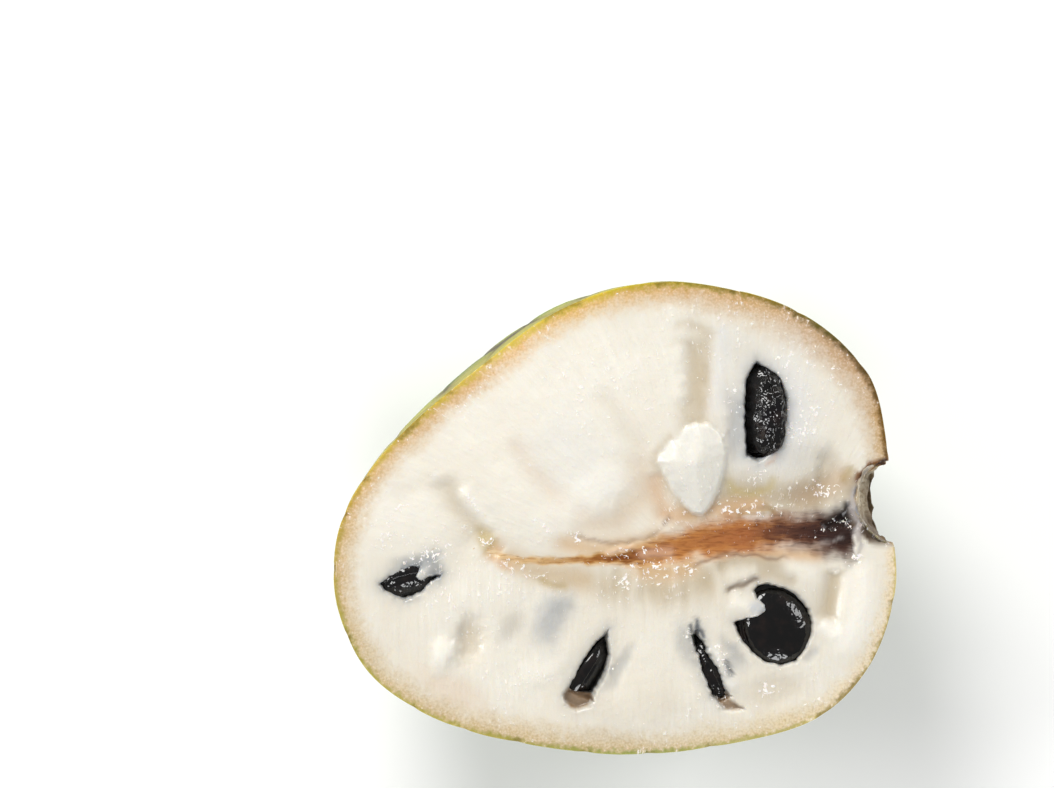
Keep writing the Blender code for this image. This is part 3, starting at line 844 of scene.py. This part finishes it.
def colour(code):
    """A hex colour as the screen shows it, turned to linear light."""
    parts = [int(code[i:i + 2], 16) / 255 for i in (0, 2, 4)]
    return (*[part / 12.92 if part <= 0.04045 else ((part + 0.055) / 1.055) ** 2.4 for part in parts], 1.0)


def per(size_mm):
    """The scale of a pattern whose blotches have this size."""
    return 1 / (size_mm * MM)


def new_material(name):
    made = bpy.data.materials.new(name)
    made.use_nodes = True
    return made, made.node_tree, made.node_tree.nodes["Principled BSDF"]


def set_inputs(node, inputs):
    """Gives a node's inputs values or hex colours, or links them to other nodes' outputs."""
    for socket, value in inputs.items():
        if isinstance(value, bpy.types.NodeSocket):
            node.id_data.links.new(value, node.inputs[socket])
        else:
            node.inputs[socket].default_value = colour(value) if isinstance(value, str) else value


def add(kind, inputs=None, settings=None, out=0):
    """Adds a node to the tree in hand, and gives back one of its outputs."""
    node = tree.nodes.new("ShaderNode" + kind)
    for name, value in (settings or {}).items():
        setattr(node, name, value)
    set_inputs(node, inputs or {})
    return node.outputs[out]


def dress(shader, paint, coats, relief, inputs):
    """Gives a shader its paint under coats of colour, its relief and its other inputs, and gives back
    the relief. A coat is a mask and a colour; a layer of relief is a pattern, strength and depth in mm."""
    for mask, coat in coats:
        paint = add("Mix", {0: mask, 6: paint, 7: coat}, PAINT, out=2)
    normal = {}
    for pattern, strength, depth in relief:
        bump = {"Height": pattern, "Strength": strength, "Distance": depth * MM}
        normal = {"Normal": add("Bump", {**bump, **normal})}
    set_inputs(shader, {"Base Color": paint, **normal, **inputs})
    return normal["Normal"]


def fill_ramp(output, stops):
    """Fills a colour ramp, from one of its outputs, with hex colours or plain numbers."""
    elements = output.node.color_ramp.elements
    while len(elements) < len(stops):
        elements.new(0.5)
    for element, (position, value) in zip(elements, stops):
        element.position = position
        element.color = colour(value) if isinstance(value, str) else (value, value, value, 1.0)


print("blotches of 1 mm have scale", per(1))


# %% [markdown]
# ## Flesh
#
# Ripe flesh is a soft, wet pulp. Light goes a few millimetres into it, so it glows softly and has no hard
# shadows, and juice on it gives small sharp glints. Its colour is nearly white in the middle and turns
# peach and tan in the rind. The stains stored on the mesh say where each colour goes, and noise breaks
# up their edges as real pulp does. A painted image would do too, but nodes stay sharp from near by.

# %% Flesh: pulp, its fibres and its stains
flesh, tree, shader = new_material("ripe_custard_apple_flesh")
place_out = add("TexCoord", out="Object")
stored = {
    name: add("Attribute", {}, {"attribute_name": name}, out="Fac")
    for name in (*STAINS, "from_rim", "turn", "scar", "edge", "fibrous")
}
fibre_out = add("Attribute", {}, {"attribute_name": "fibre"}, out="Vector")
clouds, grain, blotch, speckle, drops = (
    add("TexNoise", {
        "Vector": place_out, "Scale": per(size), "Detail": detail, "Distortion": distortion,
    })
    for size, detail, distortion in ((15, 3, 0), (0.9, 3, 0), (3.5, 2, 0), (0.4, 2, 0), (1.3, 2, 1))
)
# Long patterns: fibres 0.7 mm thick, torn fibre ends that carry painted glints, and the core's hairs, which
# run along it.
fibres, torn, hairs = (
    add("TexNoise", {
        "Vector": add("VectorMath", {0: way, 1: stretch}, TIMES),
        "Scale": 1.0, "Detail": detail, "Distortion": distortion,
    })
    for way, stretch, detail, distortion in (
        (fibre_out, (1 / 0.7, 1 / 7.0, 1.0), 3.0, 0.5),
        (fibre_out, (1 / 0.9, 1 / 7.0, 1.0), 1.0, 0.0),
        (place_out, (per(2.2), per(0.4), per(0.4)), 3.0, 0.6),
    )
)
fibre_height = add("Math", {0: fibres, 1: stored["fibrous"]}, TIMES)
patchy = add("MapRange", {0: clouds, 1: 0.4, 2: 0.65, 3: 0.08, 4: 0.46})
streaks = add("MapRange", {0: fibre_height, 1: 0.5, 2: 0.78, 4: patchy})
furrows = add("MapRange", {0: fibre_height, 1: 0.28, 2: 0.44, 3: 0.13, 4: 0.0})
furrows = add("Math", {0: furrows, 1: stored["fibrous"]}, TIMES)
coats = [(clouds, "e5e2d8"), (streaks, "eeebe2"), (furrows, "c9bda6")]
for stain, code in (("tan", "b09c78"), ("peach", "cda47a"), ("olive", "bba662"), ("pale", "ebe8df"),
                    ("cool", "d2d5da"), ("lump", "dcd9d0")):
    coats.append((stored[stain], code))
print("coats of colour so far:", len(coats))

# %% Flesh: the rind, peach and tan inside, with a thin yellow or green line at the skin
# Round the rim from the stem end: angle in degrees, band colour, line colour, widths of both in mm.
RIND = [
    (0, "dccdac", "b0a068", 2.6, 0.6), (10, "b89458", "6d5020", 5.0, 1.2),
    (20, "b8925a", "64480e", 6.0, 1.2), (34, "b48c5e", "463812", 8.0, 1.8),
    (45, "bb9870", "5c5418", 8.5, 1.8), (56, "c6a270", "7c6a1c", 8.5, 1.4),
    (72, "c69850", "98901e", 6.6, 1.5), (95, "dab060", "bca830", 5.6, 1.6),
    (115, "dcb068", "c2b04a", 5.6, 1.7), (140, "cca262", "b8a444", 5.8, 1.7),
    (155, "caa264", "bcaa44", 5.8, 1.6), (175, "c8a468", "ac9440", 6.0, 1.3),
    (205, "c6b086", "9c9648", 6.0, 1.2), (240, "c6b086", "9c9446", 6.4, 1.2),
    (275, "c6b28a", "8c9450", 6.0, 1.2), (310, "d6c49c", "aaa060", 5.4, 0.9),
    (340, "dfcfae", "c4b47c", 4.0, 0.6), (360, "dccdac", "b0a068", 2.6, 0.6),
]
WIDEST = 10.0  # mm; a ramp only holds numbers up to 1
round_rim = add("MapRange", {0: stored["turn"], 1: 0.0, 2: 360.0})
rind = [add("ValToRGB", {0: round_rim}) for _ in range(4)]
for column, output in enumerate(rind):
    scale = 1 if column < 2 else 1 / WIDEST
    fill_ramp(output, [(row[0] / 360, row[1 + column] * scale) for row in RIND])
band_colour, line_colour, band_width, line_width = rind

into_band = add("Math", {0: blotch, 1: 3.0, 2: stored["from_rim"]}, TIMES_PLUS)
into_band = add("Math", {0: grain, 1: 2.6, 2: into_band}, TIMES_PLUS)
band_end = add("Math", {0: band_width, 1: WIDEST, 2: 2.8}, TIMES_PLUS)
band = add("MapRange", {0: into_band, 1: 3.0, 2: band_end, 3: 0.92, 4: 0.0}, SOFT)
coats.append((band, band_colour))
for low, high, strength, code in ((0.46, 0.68, 0.4, "a08048"), (0.46, 0.30, 0.48, "ead9c6")):
    dots = add("MapRange", {0: speckle, 1: low, 2: high, 4: strength})
    coats.append((add("Math", {0: dots, 1: band}, TIMES), code))

into_line = add("Math", {0: grain, 1: 2.4, 2: stored["from_rim"]}, TIMES_PLUS)
line_end = add("Math", {0: line_width, 1: WIDEST, 2: 1.6}, TIMES_PLUS)
line = add("MapRange", {0: into_line, 1: 1.4, 2: line_end, 3: 0.97, 4: 0.0}, SOFT)
into_groove = add("Math", {0: into_line, 1: stored["edge"]}, {"operation": "ADD"})
groove_end = add("MapRange", {0: into_groove, 1: 1.4, 2: 2.9, 3: 0.6, 4: 0.0}, SOFT)
coats += [(line, line_colour), (groove_end, "5f4a26")]
print("colours round the rim:", len(RIND), "| coats so far:", len(coats))

# %% Flesh: the core, orange strands that darken to black at the stem
x_out = add("SeparateXYZ", {0: place_out}, out="X")
along_core = add("MapRange", {0: x_out, 1: -24 * MM, 2: 46 * MM})
core_rim, core_heart = (add("ValToRGB", {0: along_core}) for _ in range(2))
fill_ramp(core_rim, [
    (0.0, "d9c7a8"), (0.3, "cda262"), (0.5, "c48a48"), (0.7, "b87c42"), (0.8, "85583c"),
    (0.9, "5a3a2c"), (1.0, "4a3028"),
])
fill_ramp(core_heart, [
    (0.0, "d2b68e"), (0.16, "cca672"), (0.28, "9a6430"), (0.36, "7c451a"), (0.5, "b07440"),
    (0.67, "a3663c"), (0.76, "5c3a2c"), (0.86, "3a2420"), (0.94, "32231f"), (1.0, "140d0b"),
])
heart = add("Math", {0: blotch, 1: 0.9, 2: stored["core"]}, TIMES_PLUS)
heart = add("Math", {0: hairs, 1: 1.1, 2: heart}, TIMES_PLUS)
heart = add("MapRange", {0: heart, 1: 1.05, 2: 1.85}, SOFT)
core_paint = add("Mix", {0: heart, 6: core_rim, 7: core_heart}, PAINT, out=2)
dark_hairs = add("MapRange", {0: hairs, 1: 0.5, 2: 0.72, 4: 0.5})
core_paint = add(
    "Mix", {0: dark_hairs, 6: core_paint, 7: "9a7a60"}, {**PAINT, "blend_type": "MULTIPLY"}, out=2
)
core_mask = add("Math", {0: hairs, 1: 0.25, 2: stored["core"]}, TIMES_PLUS)
core_mask = add("Math", {0: blotch, 1: 0.9, 2: core_mask}, TIMES_PLUS)
core_mask = add("MapRange", {0: core_mask, 1: 0.25, 2: 1.15}, SOFT)
coats.append((core_mask, core_paint))
# Nearly black is painted shade in the seeds' hollows and in the slit by the face-on seed, and the real dark
# of the core at the stem and of the torn wall.
for stain, code in (("seam", "7d5632"), ("husk", "85694a"), ("shade", "898c8e"), ("shade_and_dark_tissue", "160d09"),
                    ("film", "aaa39f"), ("pulp", "d2b096"), ("scar", "b3a288")):
    coats.append((stored[stain], code))
print("coats so far:", len(coats))

# %% Flesh: painted glints of juice and torn ends of pulp, which are glossy as well
def thin_lines(pattern, half_width):
    """1 along the lines where a noise passes through its middle value, which are thin and curly."""
    off = add("Math", {0: pattern, 1: 0.5}, {"operation": "SUBTRACT"})
    off = add("Math", {0: off}, {"operation": "ABSOLUTE"})
    off = add("Math", {0: off, 1: half_width}, {"operation": "DIVIDE"})
    return add("MapRange", {0: off, 1: 0.6, 2: 1.0, 3: 1.0, 4: 0.0})


drop_width = add("Math", {0: stored["wet"], 1: 0.03, 2: 0.026}, TIMES_PLUS)
where_wet = add("Math", {0: stored["wet"], 1: 0.2, 2: grain}, TIMES_PLUS)
where_wet = add("MapRange", {0: where_wet, 1: 0.66, 2: 0.71}, SOFT)
bead_glints = add("Math", {0: where_wet, 1: thin_lines(drops, drop_width)}, TIMES)
torn_end_glints = thin_lines(torn, 0.035)
for where in (
        add("MapRange", {0: clouds, 1: 0.5, 2: 0.62}, SOFT),
        add("MapRange", {0: grain, 1: 0.55, 2: 0.62, 4: 0.8}, SOFT),
        add("MapRange", {0: core_mask, 3: 1.0, 4: 0.1}),
        stored["fibrous"],
):
    torn_end_glints = add("Math", {0: torn_end_glints, 1: where}, TIMES)
# Painted highlights: these glints are painted near white, and are also made glossier and bumped below.
painted_glints = add("Math", {0: bead_glints, 1: torn_end_glints}, {"operation": "MAXIMUM"})
coats.append((painted_glints, "f4efea"))
print("coats in all:", len(coats))

# %% Flesh: its paint, wetness, light inside it, and fine relief
roughness = add("MapRange", {0: blotch, 1: 0.3, 2: 0.7, 3: 0.30, 4: 0.46})
for mask, wet_roughness in ((core_mask, 0.22), (painted_glints, 0.10)):
    roughness = add("Mix", {0: mask, 2: roughness, 3: wet_roughness})
core_hairs = add("Math", {0: hairs, 1: core_mask}, TIMES)
relief = [(grain, 0.4, 0.25), (fibre_height, 0.3, 0.3), (core_hairs, 0.25, 0.2), (painted_glints, 0.5, 0.25)]
dress(shader, "d7cfbf", coats, relief, {
    "Roughness": roughness,
    "IOR": 1.38,  # it is mostly water and sugar
    "Subsurface Weight": 0.55,
    "Subsurface Radius": (1.0, 0.8, 0.55),
    "Subsurface Scale": 1.8 * MM,
    "Coat Weight": add("MapRange", {0: core_mask, 3: 0.38, 4: 0.05}),
    "Coat Roughness": 0.16,
})
print("flesh:", len(tree.nodes), "nodes")

# %% [markdown]
# ## Skin
#
# The skin is thin, leathery and matt. Each scale is a slightly different green, mottled with paler dots,
# and turns olive and then brown towards its grooves, where the skin is corky. Distance to the nearest
# groove, stored on the mesh, drives that change, and grain scatters it into speckles. Under the rim the
# skin is yellower, with thin corky lines along it, and the wall of the stem scar is stringy like bark.

# %% Skin: greens, dots and grooves
skin_finish, tree, shader = new_material("waxy_green_custard_apple_skin")
place_out = add("TexCoord", out="Object")
edge_out, tone_out, scar_out = (
    add("Attribute", {}, {"attribute_name": name}, out="Fac") for name in ("edge", "tone", "scar")
)
clouds, mottle, dots = (
    add("TexNoise", {"Vector": place_out, "Scale": per(size), "Detail": detail})
    for size, detail in ((14, 3), (1.1, 3), (0.45, 2))
)
green = add("ValToRGB", {0: tone_out})
fill_ramp(green, [(0.0, "3c5e1a"), (0.35, "4a6e22"), (0.7, "5b7e2a"), (1.0, "728c38")])
coats = []
for pattern, low, high, strength, code in (
        (clouds, 0.45, 0.75, 0.55, "8f9a48"), (mottle, 0.5, 0.75, 0.45, "86a350"),
        (dots, 0.52, 0.7, 0.35, "35501a")):
    coats.append((add("MapRange", {0: pattern, 1: low, 2: high, 4: strength}), code))

y_out, z_out = (add("SeparateXYZ", {0: place_out}, out=axis) for axis in "YZ")
under_rim = add("MapRange", {0: z_out, 1: (FACE_HEIGHT - 10) * MM, 2: (FACE_HEIGHT - 1) * MM, 4: 0.62}, SOFT)
coats.append((under_rim, "a4983e"))
frayed = add("Math", {0: mottle, 1: 3.0, 2: edge_out}, TIMES_PLUS)
frayed = add("Math", {0: clouds, 1: -8.0, 2: frayed}, TIMES_PLUS)
for distance, near, far, strength, code in (
        (frayed, -2.4, 0.2, 0.5, "5c5a28"), (frayed, -2.9, -1.5, 0.85, "453522"),
        (edge_out, 0.1, 0.65, 0.85, "2c2c12")):
    coats.append((add("MapRange", {0: distance, 1: near, 2: far, 3: strength, 4: 0.0}, SOFT), code))
print("coats of colour so far:", len(coats))

# %% Skin: the yellow rim with its corky lines, and the wall of the scar
cork, strands = (
    add("TexNoise", {
        "Vector": add("VectorMath", {0: place_out, 1: (per(wide), per(wide), per(tall))}, TIMES),
        "Scale": 1.0, "Detail": detail, "Distortion": distortion,
    })
    for wide, tall, detail, distortion in ((7.0, 1.2, 4.0, 0.5), (0.8, 5.0, 3.0, 0.8))
)
rim_fade = add("MapRange", {0: z_out, 1: (FACE_HEIGHT - 5) * MM, 2: (FACE_HEIGHT - 0.5) * MM, 4: 0.65}, SOFT)
cork_mask = add("MapRange", {0: cork, 1: 0.5, 2: 0.66, 4: 0.75})
cork_mask = add("Math", {0: cork_mask, 1: under_rim}, TIMES)
upper = add("MapRange", {0: z_out, 1: (FACE_HEIGHT - 16) * MM, 2: (FACE_HEIGHT - 8) * MM}, SOFT)
fleshy = add("MapRange", {0: y_out, 1: -1.5 * MM, 2: 2.0 * MM, 3: 0.15, 4: 1.0}, SOFT)
fleshy = add("Math", {0: upper, 1: fleshy}, TIMES)
strand_mask = add("MapRange", {0: strands, 1: 0.42, 2: 0.62, 4: 0.7})
wall = add("Mix", {0: fleshy, 6: "4a3320", 7: "c6b89c"}, PAINT, out=2)
wall = add("Mix", {0: strand_mask, 6: wall, 7: "7a6344"}, PAINT, out=2)
coats += [(rim_fade, "a49c46"), (cork_mask, "6d6140"), (scar_out, wall)]
strand_height = add("Math", {0: strands, 1: scar_out}, TIMES)
relief = [(dots, 0.6, 0.15), (mottle, 0.6, 0.3), (strand_height, 0.8, 0.6)]
roughness = add("MapRange", {0: mottle, 1: 0.3, 2: 0.7, 3: 0.48, 4: 0.66})
dress(shader, green, coats, relief, {"Roughness": roughness})
for finish in (flesh, skin_finish):
    fruit.data.materials.append(finish)
print("skin:", len(tree.nodes), "nodes")

# %% [markdown]
# ## Seed coat
#
# The coat is hard and almost black, with a hint of brown, under a film of juice. A clear coat over a
# rougher base gives that: broad soft sheen from the base and sharp glints from the film.

# %% Seed coat material
seed_coat, tree, shader = new_material("wet_black_seed_coat")
place_out = add("TexCoord", out="Object")
wrinkled = add("Attribute", {}, {"attribute_name": "wrinkle"}, out="Fac")
patches, pits = (
    add("TexNoise", {"Vector": place_out, "Scale": per(size), "Detail": detail})
    for size, detail in ((2.5, 3), (1.5, 2))
)
brown = add("MapRange", {0: patches, 1: 0.5, 2: 0.75})
pit_height = add("Math", {0: pits, 1: wrinkled}, TIMES)
relief = dress(shader, "090808", [(brown, "1c120f")], [(pit_height, 1.0, 0.45), (patches, 0.15, 0.08)], {
    "Roughness": add("MapRange", {0: patches, 1: 0.3, 2: 0.7, 3: 0.22, 4: 0.42}),
    "Specular IOR Level": 0.05,
    "Coat Weight": 1.0,
    "Coat Roughness": 0.07,
})
set_inputs(shader, {"Coat Normal": relief})
for seed in seeds:
    seed.data.materials.append(seed_coat)
print("seed coat:", len(tree.nodes), "nodes")

# %% [markdown]
# ## Table, light and camera
#
# The half lies on a plain pale surface under four large soft lamps, so that the black seeds mirror
# mostly dark room and catch light only on their edges. The camera looks down on the cut face through a
# long lens, tilted a little so that a strip of skin shows past the rim on the far left.

# %% Table
shape = bmesh.new()
bmesh.ops.create_grid(shape, x_segments=1, y_segments=1, size=6.0)
floor_mesh = bpy.data.meshes.new("table")
shape.to_mesh(floor_mesh)
shape.free()
floor = put("table", floor_mesh)
paper, tree, shader = new_material("plain_white_paper")
set_inputs(shader, {"Base Color": "fcfcfb", "Roughness": 0.9, "Specular IOR Level": 0.1})
floor.data.materials.append(paper)
print("table: 12 m square")

# %% Lamps and room
FACE_MIDDLE = Vector((0.0, 0.0, FACE_HEIGHT * MM))
# direction from the middle of the cut face, distance and size in metres, watts, and tint
LAMPS = {
    "key": ((-0.35, 0.8, 0.56), 0.9, 0.42, 6.7, (1.0, 0.99, 0.97)),
    "right": ((0.78, 0.4, 0.5), 1.0, 0.46, 4.0, (1.0, 1.0, 1.0)),
    "left": ((-0.9, 0.1, 0.5), 0.9, 0.36, 3.7, (1.0, 1.0, 1.0)),
    "front": ((0.1, -0.9, 0.56), 1.0, 0.42, 3.9, (0.98, 0.99, 1.0)),
}
for name, (toward, distance, size, watts, tint) in LAMPS.items():
    light = bpy.data.lights.new(name, "AREA")
    light.shape = "DISK"
    light.size = size
    light.energy = watts
    light.color = tint
    lamp = put(name, light)
    lamp.location = FACE_MIDDLE + Vector(toward).normalized() * distance
    lamp.rotation_euler = (FACE_MIDDLE - lamp.location).to_track_quat("-Z", "Y").to_euler()

# The room is dim so that the wet seeds stay black, and pale where the camera sees it directly.
world = bpy.data.worlds.new("studio")
world.use_nodes = True
tree = world.node_tree
seen = add("LightPath", out="Is Camera Ray")
strength = add("MapRange", {0: seen, 3: 0.26, 4: 0.95})
set_inputs(tree.nodes["Background"], {"Color": "f4f5f6", "Strength": strength})
bpy.context.scene.world = world
bpy.context.scene.view_settings.view_transform = "Standard"
print("lamps:", ", ".join(LAMPS))

# %% Camera
LENS, SENSOR = 135.0, 36.0  # mm
VIEW_WIDTH = 186.1 * MM
AIM = Vector((-15.6, 22.0, FACE_HEIGHT)) * MM
TILT = math.radians(2)
camera_data = bpy.data.cameras.new("camera")
camera_data.lens = LENS
camera_data.sensor_width = SENSOR
camera = put("camera", camera_data)
back = Vector((-0.6 * math.sin(TILT), 0.8 * math.sin(TILT), math.cos(TILT)))
side = Vector((0, 1, 0)).cross(back).normalized()
turned = Matrix((side, back.cross(side), back)).transposed()
camera.matrix_world = Matrix.Translation(AIM + back * VIEW_WIDTH * LENS / SENSOR) @ turned.to_4x4()
bpy.context.scene.camera = camera
print("camera:", round(VIEW_WIDTH * LENS / SENSOR, 3), "m from the cut face")
